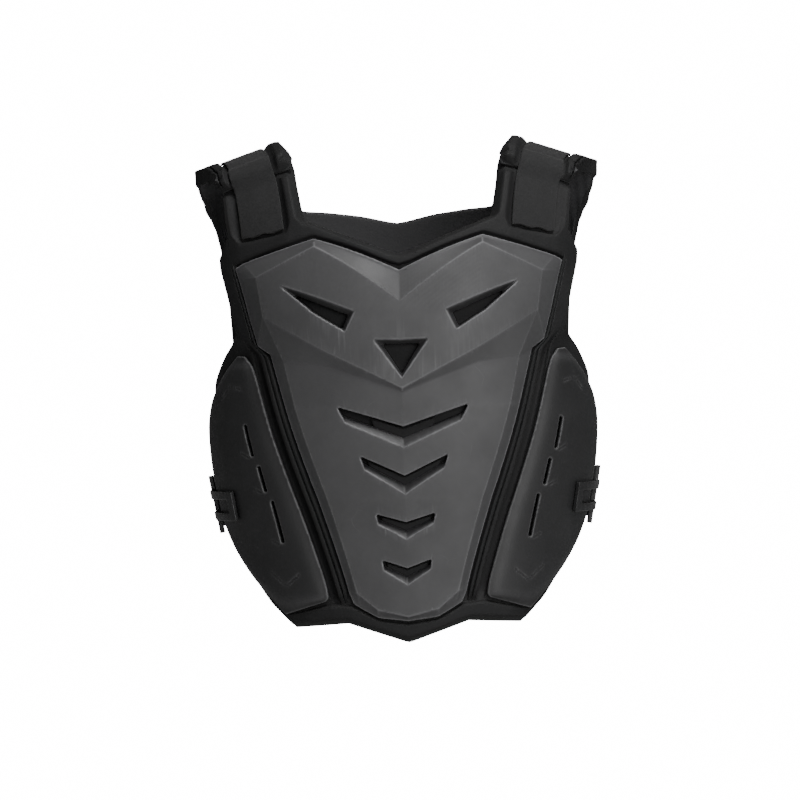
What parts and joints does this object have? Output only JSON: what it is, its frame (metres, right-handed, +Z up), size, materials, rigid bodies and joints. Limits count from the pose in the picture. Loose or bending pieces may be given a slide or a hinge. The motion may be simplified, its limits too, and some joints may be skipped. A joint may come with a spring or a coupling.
{
  "type": "motocross chest protector",
  "caption": "Motocross chest protector: moulded chest and side plates on foam pads, with shoulder straps, side straps and hook buckles, shown as worn.",
  "frame": {"origin": "midway between the undersides of the two shoulder wings at the crest, where they sit on the shoulders", "axes": "+X to the right seen from the front, -Y towards the front, +Z up"},
  "size_m": [0.3438, 0.243, 0.4197],
  "materials": {
    "plate": "matte",
    "side_plate": "matte",
    "foam": "matte",
    "strap": "matte",
    "elastic": "matte",
    "buckle": "satin"
  },
  "bodies": {
    "root": {"front_pad": "foam", "chest_plate": "plate", "back_pad": "foam", "back_plate": "plate", "side_plate_left": "side_plate", "shoulder_strap_left": "strap", "side_buckle_left": "buckle", "side_strap_left": "elastic", "side_plate_right": "side_plate", "shoulder_strap_right": "strap", "side_buckle_right": "buckle", "side_strap_right": "elastic"}
  },
  "joints": []
}
